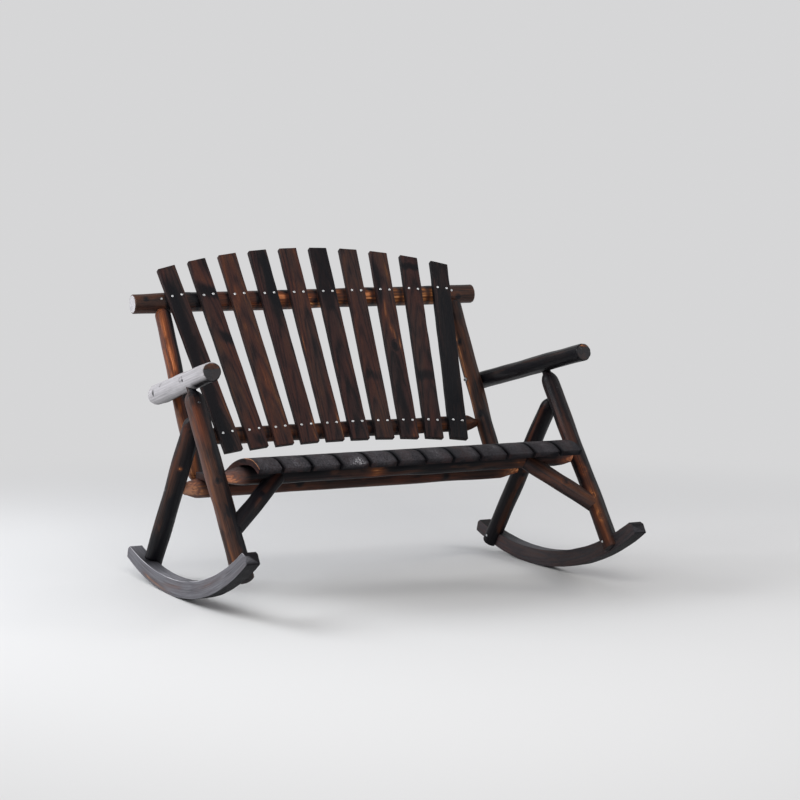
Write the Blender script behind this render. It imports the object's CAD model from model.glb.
import math
import bpy
import numpy as np
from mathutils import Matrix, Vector


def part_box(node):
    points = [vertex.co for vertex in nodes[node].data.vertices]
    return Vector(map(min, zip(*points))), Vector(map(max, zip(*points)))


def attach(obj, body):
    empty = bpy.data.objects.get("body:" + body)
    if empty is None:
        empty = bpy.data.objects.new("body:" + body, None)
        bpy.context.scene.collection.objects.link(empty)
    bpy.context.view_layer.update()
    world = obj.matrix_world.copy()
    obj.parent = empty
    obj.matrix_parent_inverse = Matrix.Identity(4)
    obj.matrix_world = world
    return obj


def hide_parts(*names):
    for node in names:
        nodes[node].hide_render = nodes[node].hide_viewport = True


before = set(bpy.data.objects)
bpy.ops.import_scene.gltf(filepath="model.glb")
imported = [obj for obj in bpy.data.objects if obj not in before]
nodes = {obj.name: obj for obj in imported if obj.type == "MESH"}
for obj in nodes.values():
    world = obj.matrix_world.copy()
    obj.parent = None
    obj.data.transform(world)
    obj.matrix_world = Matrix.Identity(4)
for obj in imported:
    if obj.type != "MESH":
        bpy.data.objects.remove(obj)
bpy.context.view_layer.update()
print("frame loaded:", len(nodes), "nodes")

# where the logs run, in metres and degrees; y counts from the rockers' floor contact
bench = {
    "rockerRadius": 1.123, "rockerTopRadius": 1.183, "rockerDepth": 0.051, "rockerShift": 0.014,
    "rockerFront": 0.614, "rockerRear": 0.350,
    "frontFoot": -0.468, "frontLean": 38.4, "rearFoot": 0.221, "rearLean": 37.3,
    "frontRailHeight": 0.377, "rearRailHeight": 0.300,
    "backLean": 30.8, "postX": 0.506, "postSetback": 0.011, "backRailSetback": 0.009,
    "lowerRailUp": 0.174, "topRailUp": 0.639,
    "armUp": 0.323, "armLegIn": 0.009, "armSaddle": 0.003,
}
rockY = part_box("rocker_left")[0].y + bench["rockerFront"]
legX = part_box("rocker_right")[0].x


def rockerTopAt(y):
    topZ = bench["rockerDepth"] + bench["rockerTopRadius"]
    return topZ - math.sqrt(bench["rockerTopRadius"] ** 2 - (y - bench["rockerShift"]) ** 2)


def leaning(degrees):
    return np.array([0, math.sin(math.radians(degrees)), math.cos(math.radians(degrees))])


frontUp, rearUp = leaning(bench["frontLean"]), leaning(-bench["rearLean"])
backUp = leaning(bench["backLean"])
backOut = np.array([0, backUp[2], -backUp[1]])
frontFoot = np.array([0, rockY + bench["frontFoot"], rockerTopAt(bench["frontFoot"])])
rearFoot = np.array([0, rockY + bench["rearFoot"], rockerTopAt(bench["rearFoot"])])
frontRail = frontFoot + frontUp * (bench["frontRailHeight"] - frontFoot[2]) / frontUp[2]
rearRail = rearFoot + rearUp * (bench["rearRailHeight"] - rearFoot[2]) / rearUp[2]
across = np.array([1.0, 0, 0])
leftSide, rightSide = -1, 1


def inBack(x, out, up):
    return x * across + rearRail + out * backOut + up * backUp


def reach(start, way, other, otherWay):  # how far along way it crosses the other line, in the y-z plane
    gap = other - start
    return (gap[1] * otherWay[2] - gap[2] * otherWay[1]) / (way[1] * otherWay[2] - way[2] * otherWay[1])


waveCount = 7


def bumps(seed, t, turn, lengths, turns, height):  # smooth seeded waves over a log or board
    rng = np.random.RandomState(seed)
    total = 0
    for k in range(waveCount):
        length = rng.uniform(*lengths)
        m = rng.randint(turns[0], turns[1] + 1)
        total = total + np.sin(2 * math.pi * t / length + m * turn + rng.uniform(0, 2 * math.pi))
    return height * total / math.sqrt(waveCount)


def angleGap(a, b):
    return (a - b + math.pi) % (2 * math.pi) - math.pi


def hill(distance, width):
    return np.exp(-(distance / width) ** 2)


def newObject(name, data):
    made = bpy.data.objects.new(name, data)
    bpy.context.scene.collection.objects.link(made)
    return made


def addPiece(name, part, points, faces, woodPos, tone, material, flatFaces=0):
    mesh = bpy.data.meshes.new(name)
    mesh.from_pydata(points.tolist(), [], faces)
    mesh.polygons.foreach_set("use_smooth", [k < len(faces) - flatFaces for k in range(len(faces))])
    for label, values in (("woodPos", woodPos), ("woodTone", tone)):
        layer = mesh.attributes.new(label, "FLOAT_VECTOR", "POINT")
        layer.data.foreach_set("vector", np.ascontiguousarray(values, dtype=np.float32).ravel())
    mesh.materials.append(material)
    mesh.update()
    piece = newObject(name, mesh)
    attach(piece, "root")
    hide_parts(part)
    return piece


def tubeFaces(rings, around):  # quads between rings, then the two end discs
    faces = []
    for j in range(rings - 1):
        for k in range(around):
            k2 = (k + 1) % around
            faces.append((j * around + k, j * around + k2, (j + 1) * around + k2, (j + 1) * around + k))
    faces.append(tuple(reversed(range(around))))
    faces.append(tuple(range((rings - 1) * around, rings * around)))
    return faces


def stationsAlong(length, step, endRound):  # close together at both ends, where the edges are eased
    eased = endRound * (1 - np.cos(np.linspace(0, math.pi / 2, 5)))
    middle = np.linspace(endRound, length - endRound, max(2, int(length / step)))
    return np.concatenate([eased[:-1], middle, length - eased[-2::-1]])


def easedInset(t, length, endRound):
    edge = np.clip(np.minimum(t, length - t), 0, endRound)
    return endRound - np.sqrt(endRound ** 2 - (endRound - edge) ** 2)


# finishes

def node(tree, kind, **sockets):
    made = tree.nodes.new(kind)
    for key, value in sockets.items():
        if key in made.inputs:
            made.inputs[key].default_value = value
        else:
            setattr(made, key, value)
    return made


def feed(tree, sockets, values):  # numbers and colours are set on their sockets, outputs are linked
    for socket, value in zip(sockets, values):
        if isinstance(value, (int, float, tuple)):
            socket.default_value = value
        elif value is not None:
            tree.links.new(value, socket)


def maths(tree, operation, a, b=None, clamp=False):
    made = tree.nodes.new("ShaderNodeMath")
    made.operation, made.use_clamp = operation, clamp
    feed(tree, made.inputs, (a, b))
    return made.outputs[0]


def plus(tree, total, *others):
    for other in others:
        total = maths(tree, "ADD", total, other)
    return total


def vectorMaths(tree, operation, a, b=None):
    made = tree.nodes.new("ShaderNodeVectorMath")
    made.operation = operation
    feed(tree, made.inputs, (a, b))
    return made.outputs["Value" if operation == "LENGTH" else "Vector"]


def stretchedNoise(tree, place, acrossScale, alongScale, detail=3.0, roughness=0.55):
    stretched = vectorMaths(tree, "MULTIPLY", place, (acrossScale, acrossScale, alongScale))
    noise = node(tree, "ShaderNodeTexNoise", Scale=1.0, Detail=detail, Roughness=roughness)
    tree.links.new(stretched, noise.inputs["Vector"])
    return noise.outputs["Fac"]


def colourRamp(tree, value, stops):
    ramp = tree.nodes.new("ShaderNodeValToRGB")
    for k, (position, colour) in enumerate(stops):
        stop = ramp.color_ramp.elements[k] if k < 2 else ramp.color_ramp.elements.new(position)
        stop.position = position
        stop.color = (*colour, 1)
    tree.links.new(value, ramp.inputs[0])
    return ramp.outputs[0]


def mixColour(tree, factor, a, b):
    mix = node(tree, "ShaderNodeMix", data_type="RGBA")
    colours = [(*colour, 1) if isinstance(colour, tuple) else colour for colour in (a, b)]
    feed(tree, (mix.inputs["Factor"], *mix.inputs[6:8]), (factor, *colours))
    return mix.outputs[2]


def bumpFrom(tree, height, strength, distance):
    bump = node(tree, "ShaderNodeBump", Strength=strength, Distance=distance)
    tree.links.new(height, bump.inputs["Height"])
    return bump.outputs[0]


def newMaterial(name):
    material = bpy.data.materials.new(name)
    material.use_nodes = True
    return material, material.node_tree, material.node_tree.nodes["Principled BSDF"]


grain = {  # noise scale across and along the grain, detail, roughness
    "drift": (14, 2.2, 2.0), "fibre": (1500, 22, 3.0, 0.65), "streak": (260, 2.6), "thin": (620, 5, 2.0),
    "crease": (380, 3.4, 2.0), "patch": (24, 6.5, 3.5, 0.6),
}
grainEdges = {"crease": (0.58, 0.68), "patch": (0.44, 0.58), "red": (0.42, 0.62)}
finish = {"ringSharpness": 2.5, "paleGrain": 1.4, "leastGrain": 0.45, "wearStreaks": 1.6, "wearThin": 1.2,
          "frostFrom": 0.9, "fibreRoughness": 0.2, "ringShine": 0.06, "coatIor": 1.45}
charStops = [  # from fresh varnished fir to burnt blue-black
    (0.0, (0.5, 0.25, 0.105)), (0.09, (0.27, 0.116, 0.04)), (0.2, (0.136, 0.056, 0.0225)),
    (0.36, (0.07, 0.031, 0.018)), (0.53, (0.043, 0.023, 0.017)), (0.65, (0.027, 0.016, 0.0135)),
    (0.76, (0.011, 0.009, 0.01)), (0.9, (0.0058, 0.006, 0.008)),
]


def softStep(tree, value, low, high):
    spread = maths(tree, "DIVIDE", maths(tree, "SUBTRACT", value, low), high - low, clamp=True)
    square = maths(tree, "MULTIPLY", spread, spread)
    twice = maths(tree, "MULTIPLY", spread, 2.0)
    return maths(tree, "MULTIPLY", square, maths(tree, "SUBTRACT", 3.0, twice))


def charredFir(name, look):
    material, tree, shader = newMaterial(name)
    place = node(tree, "ShaderNodeAttribute", attribute_name="woodPos").outputs["Vector"]
    tone = node(tree, "ShaderNodeAttribute", attribute_name="woodTone").outputs["Vector"]
    toneParts = tree.nodes.new("ShaderNodeSeparateXYZ")
    tree.links.new(tone, toneParts.inputs[0])
    burn, knot, frost = toneParts.outputs

    def times(part, amount, clamp=False):
        return maths(tree, "MULTIPLY", part, amount, clamp)

    def swing(part, middle, amount):
        return times(maths(tree, "SUBTRACT", part, middle), amount)

    # growth rings: distance from the pith, bent by slow noise and by the knots
    pithWay = vectorMaths(tree, "LENGTH", vectorMaths(tree, "MULTIPLY", place, (1, 1, 0)))
    drift = stretchedNoise(tree, place, *grain["drift"])
    ringPlace = plus(tree, pithWay, times(drift, look["drift"]), times(knot, look["knotBend"]))
    wave = maths(tree, "SINE", times(ringPlace, 2 * math.pi / look["ringWidth"]))
    lateWood = maths(tree, "POWER", plus(tree, times(wave, 0.5), 0.5), finish["ringSharpness"])

    fibre = stretchedNoise(tree, place, *grain["fibre"])
    streak = stretchedNoise(tree, place, *grain["streak"])
    thin = stretchedNoise(tree, place, *grain["thin"])
    crease = softStep(tree, stretchedNoise(tree, place, *grain["crease"]), *grainEdges["crease"])
    patch = softStep(tree, stretchedNoise(tree, place, *grain["patch"]), *grainEdges["patch"])
    lively = plus(tree, swing(streak, 0.5, look["streaks"]), swing(fibre, 0.5, look["fibres"]),
                  swing(thin, 0.5, look["thin"]), swing(lateWood, 0.3, look["ringDark"]),
                  swing(crease, 0.1, look["creases"]))
    grainShare = maths(tree, "SUBTRACT", finish["paleGrain"], burn)  # pale wood shows more grain
    grainShare = maths(tree, "MAXIMUM", grainShare, finish["leastGrain"])
    value = plus(tree, burn, swing(patch, 0.45, look["patches"]), times(lively, grainShare))
    value = maths(tree, "ADD", value, times(knot, look["knotDark"]), clamp=True)
    stops = []
    for position, shade in charStops:
        tint = look["tint"] if position < 0.7 else (1, 1, 1)
        stops.append((position, tuple(np.multiply(shade, tint))))
    colour = colourRamp(tree, value, stops)
    redder = vectorMaths(tree, "MULTIPLY", colour, look["redTint"])
    colour = mixColour(tree, softStep(tree, drift, *grainEdges["red"]), colour, redder)
    wear = plus(tree, swing(streak, 0.5, finish["wearStreaks"] * look["wear"]),
                swing(thin, 0.5, finish["wearThin"] * look["wear"]))
    frosted = times(frost, plus(tree, wear, finish["frostFrom"]), clamp=True)
    colour = mixColour(tree, frosted, colour, look["frostColour"])
    rubbed = maths(tree, "SUBTRACT", times(frost, plus(tree, wear, 1.0)), 1.0, clamp=True)
    colour = mixColour(tree, rubbed, colour, look["rubbedColour"])
    tree.links.new(colour, shader.inputs["Base Color"])

    evenRough = look["roughness"] - finish["fibreRoughness"] / 2
    rough = plus(tree, times(fibre, finish["fibreRoughness"]), evenRough)
    rough = maths(tree, "SUBTRACT", rough, times(lateWood, finish["ringShine"]), clamp=True)
    tree.links.new(rough, shader.inputs["Roughness"])
    shader.inputs["Specular IOR Level"].default_value = look["specular"]
    shader.inputs["Coat Weight"].default_value = look["coat"]
    shader.inputs["Coat Roughness"].default_value = look["coatRoughness"]
    shader.inputs["Coat IOR"].default_value = finish["coatIor"]

    height = plus(tree, times(fibre, look["fibreRelief"]), times(lateWood, look["ringRelief"]),
                  times(streak, look["streakRelief"]))
    height = maths(tree, "SUBTRACT", height, times(crease, look["creaseRelief"]))
    bump = bumpFrom(tree, height, 1.0, 1.0)
    tree.links.new(bump, shader.inputs["Normal"])
    if look["coatRelief"]:
        tree.links.new(bump, shader.inputs["Coat Normal"])
    return material


logLooks = {
    "drift": 0.006, "knotBend": 0.012, "ringWidth": 0.0042, "patches": 0.2, "streaks": 0.6, "fibres": 0.3,
    "thin": 0.3, "creases": 0.12, "tint": (1.07, 0.95, 0.92), "wear": 1.0, "redTint": (1.1, 0.88, 0.88),
    "ringDark": 0.12, "knotDark": 0.5, "frostColour": (0.34, 0.235, 0.225),
    "rubbedColour": (0.62, 0.61, 0.63), "roughness": 0.5, "specular": 0.06, "coat": 0.12,
    "coatRoughness": 0.36, "coatRelief": False, "fibreRelief": 0.0002, "ringRelief": 0.0001,
    "streakRelief": 0.0006, "creaseRelief": 0.0003,
}
logWood = charredFir("charredLog", logLooks)
armLooks = dict(
    logLooks, frostColour=(0.46, 0.442, 0.458), wear=0.6, creases=0.07, coat=0.27, coatRoughness=0.25,
)
armWood = charredFir("greyedArm", armLooks)
boardLooks = dict(
    logLooks, drift=0.009, patches=0.12, streaks=0.34, fibres=0.4, thin=0.4,
    ringDark=0.2, tint=(0.88, 0.94, 1.14), roughness=0.6, specular=0.08, coat=0.05, coatRoughness=0.4,
    coatRelief=True, fibreRelief=0.0004, ringRelief=0.0003,
)
boardWood = charredFir("charredBoard", boardLooks)
seatLooks = dict(
    boardLooks, ringWidth=0.0034, patches=0.2, roughness=0.62, wear=2.0, specular=0.05,
    frostColour=(0.074, 0.069, 0.076),
)
seatWood = charredFir("charredSeatBoard", seatLooks)
rockerWood = charredFir(
    "charredPlank", dict(boardLooks, streaks=0.5, thin=0.5, frostColour=(0.215, 0.213, 0.235)),
)


plating = {"blotches": (900, 900), "roughness": 0.18, "blotchRoughness": 0.25, "relief": (0.4, 0.0001)}


def zincPlated(name, dull, bright):
    material, tree, shader = newMaterial(name)
    place = tree.nodes.new("ShaderNodeTexCoord").outputs["Object"]
    blotch = stretchedNoise(tree, place, *plating["blotches"])
    colour = colourRamp(tree, blotch, [(0.3, dull), (0.7, bright)])
    tree.links.new(colour, shader.inputs["Base Color"])
    rough = plus(tree, maths(tree, "MULTIPLY", blotch, plating["blotchRoughness"]), plating["roughness"])
    tree.links.new(rough, shader.inputs["Roughness"])
    shader.inputs["Metallic"].default_value = 1.0
    tree.links.new(bumpFrom(tree, blotch, *plating["relief"]), shader.inputs["Normal"])
    return material


screwSteel = zincPlated("zincScrew", dull=(0.50, 0.51, 0.52), bright=(0.78, 0.79, 0.80))
darkSteel = zincPlated("darkBolt", dull=(0.05, 0.05, 0.055), bright=(0.16, 0.16, 0.17))
darkParts = ("arm_bolts", "arm_leg_screws", "rail_end_screws", "leg_apex_screws")
for name in nodes:
    if name.endswith(("screws", "bolts", "nuts")):
        nodes[name].data.materials.clear()
        nodes[name].data.materials.append(darkSteel if name in darkParts else screwSteel)
print("finishes made")


# logs

logShape = {"step": 0.0045, "around": 84, "endRound": 0.0035, "swell": 0.0008, "ridge": 0.00018,
            "shaves": 12, "shaveDepth": 0.00035, "shaveReach": 0.9, "trimReach": 1.2, "trimRise": 0.004,
            "dome": 0.0008,
            "shoulderCurve": 2.6, "checkDepth": 0.0012, "checkWidth": 0.07, "pith": (0.005, 0.003)}
fine = {"step": 0.0009, "rim": 0.003, "screwReach": 0.0065}  # the closer mesh round pockets and screws
scar = {"stretch": 1.5, "width": 0.0016, "depth": 0.0007, "frostLoss": 0.8}
knotRest = [1, 0, 0.0012]  # darkness, change of burn and height of a knot that gives none
pocketBurn = 0.25
woodShift = 1.7  # metres along the grain between the wood of two seeds
capRings = np.array([0.1, 0.25, 0.4, 0.55, 0.7, 0.82, 0.92, 0.98])


def roundLog(radius):
    return lambda t, turn: np.full(np.broadcast(t, turn).shape, radius)


def slimmingLog(radius, slim, length):  # a log that grows a little thinner towards its far end
    return lambda t, turn: radius - slim * (t / length) ** 2 + 0 * turn


def taperedTop(radius, tip, shoulder, taper):  # a log with a rounded shoulder above its tenon
    def shape(t, turn):
        u = np.clip((t - shoulder + taper) / taper, 0, 1)
        return tip + (radius - tip) * (1 - u ** logShape["shoulderCurve"]) + 0 * turn
    return shape


def cutFlat(radius, flat, gap, reach):  # a flat that reaches so far round on both sides
    near = np.abs(gap) < reach
    return np.where(near, np.minimum(radius, flat / np.cos(np.where(near, gap, 0))), radius)


def shavedRadius(t, turn, radius, seed):  # long drawknife flats
    rng = np.random.RandomState(seed)
    result = radius.copy()
    for k in range(logShape["shaves"]):
        facing = 2 * math.pi * (k + rng.uniform(-0.3, 0.3)) / logShape["shaves"]
        waver = 1 + np.sin(t / rng.uniform(0.03, 0.07) + rng.uniform(0, 6))
        depth = logShape["shaveDepth"] * (0.3 + rng.uniform()) * waver
        result = cutFlat(result, radius - depth, angleGap(turn, facing), logShape["shaveReach"])
    return result


def finer(values, centre, spread, step):  # adds close values around a centre and drops near doubles
    merged = np.sort(np.concatenate([values, np.arange(centre - spread, centre + spread, step)]))
    keep = np.concatenate([[True], np.diff(merged) > step * 0.35])
    return merged[keep]


def between(x, low, high, soft=0.06):
    return np.clip((x - low) / soft + 0.5, 0, 1) * np.clip((high - x) / soft + 0.5, 0, 1)


def cutPockets(points, pockets, burn):  # presses the face in to each pocket's floor
    pressed = np.zeros(len(points), dtype=bool)
    for centre, outward, size in pockets:
        away = points - centre
        height = away @ outward
        aside = np.linalg.norm(away - height[:, None] * outward, axis=1)
        inside = (aside < size) & (height > 0)
        points[inside] -= height[inside, None] * outward
        burn.reshape(-1)[inside] += pocketBurn
        pressed |= inside
    return pressed


def buildLog(part, start, way, front, length, radiusOf, look, material,
             pockets=(), trim=None, cope=None):
    third = np.cross(way, front)
    t = stationsAlong(length, logShape["step"], logShape["endRound"])
    turn = np.linspace(-math.pi, math.pi, logShape["around"], endpoint=False)
    for centre, outward, size in pockets:
        away = centre - start
        at = away @ way
        facing = math.atan2(away @ third, away @ front)
        spread = size + fine["rim"]
        t = finer(t, at, spread, fine["step"])
        turn = finer(turn, facing, spread / look["radius"], fine["step"] / look["radius"])
        turn = np.sort(angleGap(turn, 0))
    t = np.clip(t, 0, length)
    rings, around, capCount = len(t), len(turn), len(capRings)

    # at both ends the rings close in towards the middle
    stations = np.concatenate([np.zeros(capCount), t, np.full(capCount, length)])
    share = np.concatenate([capRings, np.ones(rings), capRings[::-1]])
    along, angle = stations[:, None], turn[None, :]
    seed = look["seed"]
    radius = shavedRadius(along, angle, radiusOf(along, angle), seed)
    radius = radius + bumps(seed + 1, along, angle, (0.12, 0.5), (0, 3), logShape["swell"])
    radius = radius + bumps(seed + 2, along, angle, (0.3, 1.2), (6, 17), logShape["ridge"])
    burn = np.full(radius.shape, float(look["burn"]))
    knotTone = np.zeros(radius.shape)
    frost, frostLoss = np.zeros(radius.shape), np.zeros(radius.shape)
    for at, facing, size, *rest in look["knots"]:
        dark, paler, rise = rest + knotRest[len(rest):]
        aside = look["radius"] * angleGap(angle, math.radians(facing))
        distance = np.sqrt((along - at) ** 2 + aside ** 2)
        knotTone = knotTone + hill(distance, size) * dark
        burn = burn + hill(distance, 2.2 * size) * paler
        radius = radius + hill(distance, 1.3 * size) * rise
    for at, facing, depth, run in look.get("trims", ()):  # a knot planed off
        cutTo = look["radius"] - depth + ((along - at) / run) ** 2 * logShape["trimRise"]
        radius = cutFlat(radius, cutTo, angleGap(angle, math.radians(facing)), logShape["trimReach"])
    for at, facing, size in look.get("scars", ()):  # a groove round a planed knot
        gap = angleGap(angle, math.radians(facing))
        rim = hill(np.hypot((along - at) / scar["stretch"], look["radius"] * gap) - size, scar["width"])
        radius = radius - scar["depth"] * rim
        frostLoss = frostLoss + scar["frostLoss"] * rim
    for at, wide, amount in look.get("bands", ()):
        burn = burn + amount * hill(along - at, wide)
    for facing, wide, amount, low, high in look["streaks"]:
        gap = angleGap(angle, math.radians(facing) + bumps(seed + 5, along, 0, (0.2, 0.6), (0, 0), 0.12))
        burn = burn + amount * hill(gap, math.radians(wide)) * between(along / length, low, high)
    for facing, wide, amount, low, high in look.get("frosts", ()):
        gap = np.abs(angleGap(angle, math.radians(facing)))
        near = np.clip((math.radians(wide) - gap) / 0.5 + 0.5, 0, 1)
        frost = frost + amount * near * between(along / length, low, high)
    frost = np.clip(frost, 0, 1) * np.clip(1 - frostLoss, 0, 1)

    # end grain: cracks from the middle, a low dome and a burn of its own
    isCap = share[:, None] < 1
    checks = np.random.RandomState(seed + 3).uniform(-math.pi, math.pi, 3)
    crack = 0
    for facing in checks:
        crooked = facing + 0.1 * np.sin(9 * share[:, None])
        crack = crack + hill(angleGap(angle, crooked), logShape["checkWidth"])
    capLift = logShape["dome"] * (1 - share[:, None] ** 2) - logShape["checkDepth"] * crack * between(
        share[:, None], 0.05, 0.95, 0.2) * isCap
    burn = np.where(isCap, look["endBurn"], burn)
    upper = share[:, None] * (np.cos(angle) + 0.1 * np.sin(3 * angle + seed))
    upper = np.clip((upper - look.get("upperFrom", 0.25)) / 0.08 + 0.5, 0, 1) * isCap * (along > 0)
    burn = burn + upper * (look.get("upperBurn", look["endBurn"]) - burn)
    endFrost = look.get("endFrost", 0) * (1 - upper)
    capFrost = np.where(along < length / 2, look.get("startFrost", 0), endFrost)
    frost = np.where(isCap, capFrost, frost)
    knotTone = np.where(isCap, 0.5 * crack, knotTone)
    radius = (radius - easedInset(along, length, logShape["endRound"])) * share[:, None]
    lift = np.where(along < length / 2, -capLift, capLift) * isCap
    if cope:  # both ends follow the logs that they meet
        first, last = cope(radius, angle)
        along = first + (last - first) * along / length
        lift = 0
    points = (start + (along + lift)[..., None] * way
              + (radius * np.cos(angle))[..., None] * front + (radius * np.sin(angle))[..., None] * third)
    points = points.reshape(-1, 3)
    frost.reshape(-1)[cutPockets(points, pockets, burn)] = 0
    if trim:
        points = trim(points)
    pith = logShape["pith"]
    woodPos = np.stack([radius * np.cos(angle) + pith[0], radius * np.sin(angle) + pith[1],
                        along + 0 * angle + woodShift * seed], axis=-1)
    tone = np.stack([np.clip(burn, -0.4, 1.4), knotTone, frost], axis=-1)
    faces = tubeFaces(rings + 2 * capCount, around)
    return addPiece(part + "_log", part, points, faces, woodPos.reshape(-1, 3), tone.reshape(-1, 3),
                    material, 2)


def sideways(way):  # the direction square to a log that lies nearest the front
    return np.cross(across, way)


def sideName(side):
    return "left" if side < 0 else "right"


def lapAtRocker(side):  # the lower end's outer half is cut back to the rocker's inner face
    topCentre = np.array([rockY + bench["rockerShift"], bench["rockerDepth"] + bench["rockerTopRadius"]])

    def trim(points):
        away = np.hypot(points[:, 1] - topCentre[0], points[:, 2] - topCentre[1])
        below = away > bench["rockerTopRadius"] - legFit["lapEase"]
        outer = side * points[:, 0] > legX
        points[below & outer, 0] = side * legX
        return points
    return trim


# streaks and frosts: facing and half width in degrees, amount, from and to along the log
# knots: distance from the start, facing, size, then darkness, change of burn and height
frontLegs = {
    leftSide: {
        "radius": 0.0295, "stub": 0.042, "burn": 0.575, "seed": 11, "endBurn": 0.85,
        "streaks": [
            (-70, 36, -0.14, 0.0, 0.9), (35, 36, 0.3, 0.0, 1.0), (-20, 60, 0.12, 0.1, 0.35),
            (-20, 70, 0.36, 0.9, 1.1),
        ],
        "knots": [(0.3, -20, 0.009, 0.6), (0.52, 60, 0.008)], "frosts": [(-108, 34, 0.16, 0.25, 0.92)],
    },
    rightSide: {
        "radius": 0.0265, "stub": 0.04, "burn": 0.71, "seed": 12, "endBurn": 0.85,
        "streaks": [
            (-34, 26, -0.35, 0.0, 0.45), (-55, 12, -0.12, 0.35, 0.75), (22, 26, 0.22, 0.0, 1.0),
            (-50, 70, 0.15, 0.7, 1.1),
        ],
        "knots": [
            (0.1, -28, 0.009, 0.8, -0.3), (0.17, -36, 0.007, 1, -0.3), (0.26, -30, 0.008, 0.7, -0.3),
            (0.6, -50, 0.009),
        ],
    },
}
rearLegs = {
    leftSide: {
        "radius": 0.029, "stub": 0.044, "burn": 0.82, "seed": 13, "endBurn": 0.9,
        "streaks": [(-65, 34, -0.24, 0.25, 1.0), (15, 34, 0.22, 0.0, 1.0), (-60, 60, 0.12, 0.0, 0.3)],
        "knots": [(0.446, -26, 0.0034, 0.1, -0.75), (0.25, 10, 0.009)],
    },
    rightSide: {
        "radius": 0.027, "stub": 0.044, "burn": 0.95, "seed": 14, "endBurn": 0.9,
        "streaks": [(-14, 22, -0.42, 0.08, 0.62), (-70, 14, -0.45, 0.6, 0.92)],
        "knots": [(0.33, -10, 0.009)],
    },
}
arms = {
    leftSide: {
        "radius": 0.0315, "run": 0.498, "rise": 0.103, "overhang": 0.059, "slim": 0.0035, "burn": 0.8,
        "seed": 21, "endBurn": 0.86, "upperBurn": 0.47, "streaks": [(180, 60, 0.2, 0.0, 1.0)],
        "endFrost": 0.06, "knots": [(0.352, 78, 0.005, 0.3, 0, 0), (0.13, 60, 0.004, 0.5, 0, 0.0006)],
        "trims": [(0.352, 78, 0.0016, 0.034)], "scars": [(0.352, 78, 0.0085), (0.13, 60, 0.005)],
        "frosts": [(58, 74, 1.0, -0.2, 1.2), (110, 60, 0.75, -0.2, 0.75)],
    },
    rightSide: {
        "radius": 0.0275, "run": 0.525, "rise": 0.122, "overhang": 0.046, "slim": 0.001, "burn": 0.92,
        "seed": 22, "endBurn": 0.8, "upperFrom": 0.7, "endFrost": 0.04, "upperBurn": 0.2,
        "streaks": [(60, 20, -0.15, 0.2, 0.9)], "knots": [(0.4, -40, 0.008)],
        "frosts": [(-10, 30, 0.05, 0.0, 1.0)],
    },
}
armFit = {"boltPocket": 0.010, "boltSink": 0.003, "screwPocket": 0.0047, "screwSink": 0.002}
legFit = {"tip": 0.014, "taper": 0.040, "past": 0.008, "screwDown": 0.016, "shoulderGap": 0.001,
          "lapEase": 0.0002}
postRadius = {leftSide: 0.0245, rightSide: 0.026}
armPost = inBack(0, bench["postSetback"], bench["armUp"])


def shoulderBack(logRadius, tip, degrees):
    a = math.radians(degrees)
    return (logRadius + tip * abs(math.cos(a))) / math.sin(a) + legFit["shoulderGap"]


for side in (leftSide, rightSide):
    front, rear, arm = frontLegs[side], rearLegs[side], arms[side]
    armWay = np.array([0, -arm["run"], arm["rise"]])
    topReach = reach(frontFoot, frontUp, armPost, armWay)
    armAngle = 90 - bench["frontLean"] + math.degrees(math.atan(arm["rise"] / arm["run"]))
    apexReach = reach(rearFoot, rearUp, frontFoot, frontUp)
    apexAngle = bench["frontLean"] + bench["rearLean"]
    for name, look, foot, up, top, metLog, angle in (
            ("front_leg_", front, frontFoot, frontUp, topReach, arm, armAngle),
            ("rear_leg_", rear, rearFoot, rearUp, apexReach, front, apexAngle)):
        shoulder = look["stub"] + top - shoulderBack(metLog["radius"], legFit["tip"], angle)
        foot = foot + side * legX * across
        screwAt = foot - up * legFit["screwDown"] - side * across * (look["radius"] - armFit["screwSink"])
        buildLog(name + sideName(side), foot - up * look["stub"], up, sideways(up),
                 look["stub"] + top + legFit["past"],
                 taperedTop(look["radius"], legFit["tip"], shoulder, legFit["taper"]), look,
                 logWood, [(screwAt, -side * across, armFit["screwPocket"])], lapAtRocker(side))

    postOut = bench["postX"] + postRadius[side] + arm["radius"] - bench["armSaddle"]
    legCross = frontFoot + frontUp * topReach
    slant = (legX - bench["armLegIn"] - postOut) / (armPost[1] - legCross[1])
    armVector = np.array([side * slant * arm["run"], -arm["run"], arm["rise"]])
    armLength = np.linalg.norm(armVector)
    armUnit = armVector / armLength
    armTop = np.array([0, 0, 1.0]) - armUnit[2] * armUnit
    armTop /= np.linalg.norm(armTop)
    armStart = side * postOut * across + armPost - armUnit * arm["overhang"]
    boltAt = side * (postOut + arm["radius"] - armFit["boltSink"]) * across + armPost
    screwAt = legCross + side * (legX - bench["armLegIn"] + arm["radius"] - armFit["screwSink"]) * across
    armLength += arm["overhang"]
    outward = side * across
    pockets = [(boltAt, outward, armFit["boltPocket"]), (screwAt, outward, armFit["screwPocket"])]
    buildLog("arm_" + sideName(side), armStart, armUnit, armTop, armLength,
             slimmingLog(arm["radius"], arm["slim"], armLength), arm, armWood, pockets)
print("legs and arms made")


hewn = {"facets": 6, "stray": 0.2, "lean": (0.85, 1.15), "twist": 0.35}  # axe cuts at the rails' ends


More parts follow.
